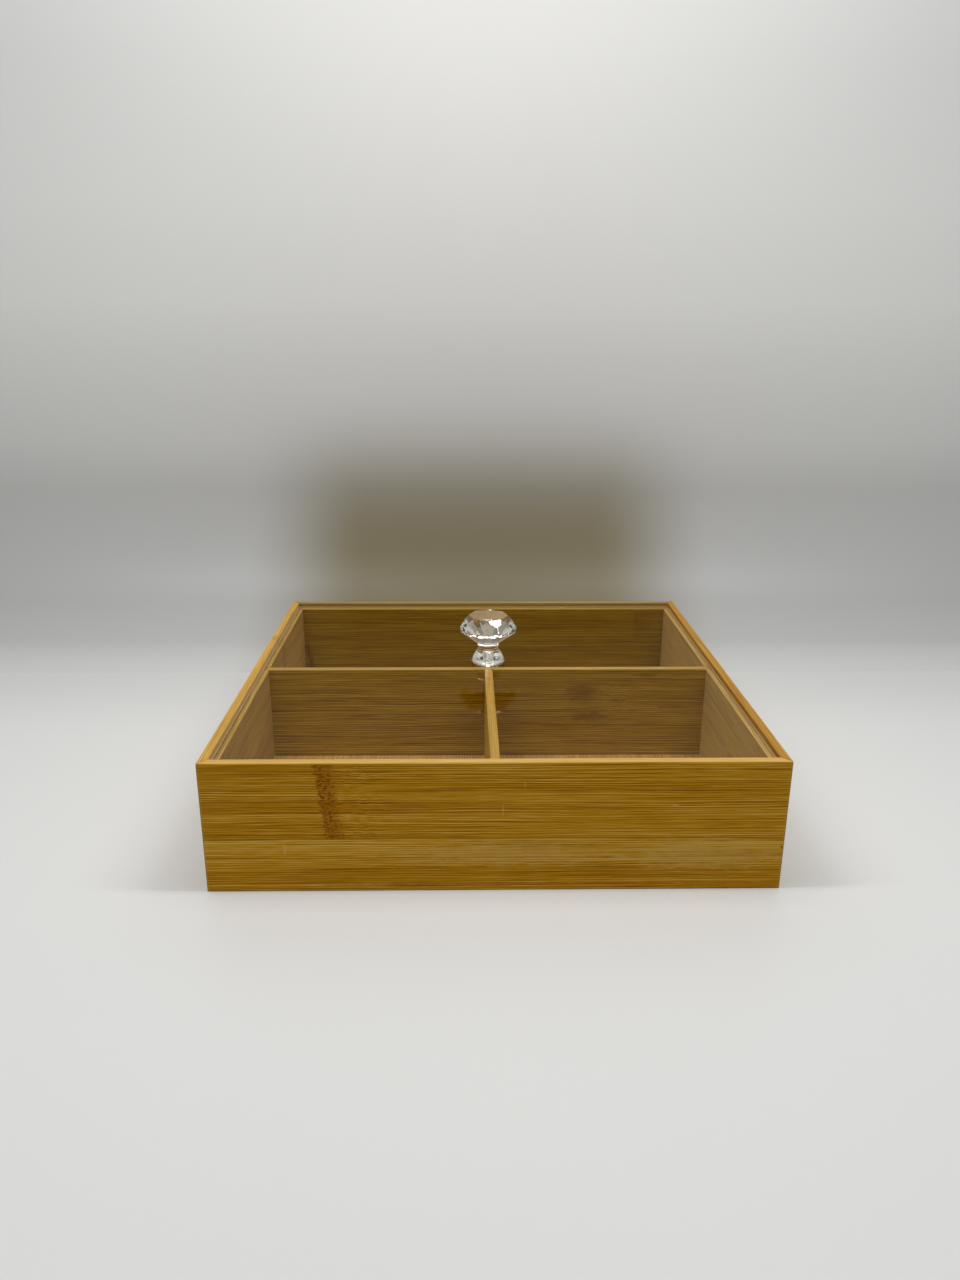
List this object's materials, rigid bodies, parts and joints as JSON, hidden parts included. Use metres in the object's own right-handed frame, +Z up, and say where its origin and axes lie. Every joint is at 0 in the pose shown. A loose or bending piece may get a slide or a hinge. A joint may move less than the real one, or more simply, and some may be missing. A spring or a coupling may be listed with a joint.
{
  "type": "bamboo organizer tray",
  "caption": "Shallow square bamboo tray with fixed dividers and a clear lid that lies in a rebated rim and lifts off by a faceted knob.",
  "frame": {"origin": "on the table, under the middle of the tray's outer box", "axes": "+Z up; +X to the right of someone who faces the front wall; +Y from the front wall to the back wall"},
  "size_m": [0.245, 0.24, 0.0841],
  "materials": {
    "front_wall_bamboo": "oiled bamboo, satin",
    "back_wall_bamboo": "oiled bamboo, satin",
    "left_wall_bamboo": "oiled bamboo, satin",
    "right_wall_bamboo": "oiled bamboo, satin",
    "base_bamboo": "bamboo sheet, satin",
    "long_divider_bamboo": "oiled bamboo, satin",
    "short_divider_bamboo": "oiled bamboo, satin",
    "clear_panel": "clear acrylic sheet, polished",
    "clear_knob": "clear acrylic moulding, polished",
    "zinc_steel": "zinc-plated"
  },
  "bodies": {
    "tray": {"front_wall": "front_wall_bamboo", "back_wall": "back_wall_bamboo", "left_wall": "left_wall_bamboo", "right_wall": "right_wall_bamboo", "base_panel": "base_bamboo", "long_divider": "long_divider_bamboo", "short_divider": "short_divider_bamboo"},
    "lid": {"lid_panel": "clear_panel", "lid_knob": "clear_knob", "knob_screw": "zinc_steel"}
  },
  "joints": [
    {"name": "lid_lift", "type": "slide", "parent": "tray", "child": "lid", "axis": [0, 0, 1], "range_m": [0, 0.12]}
  ]
}
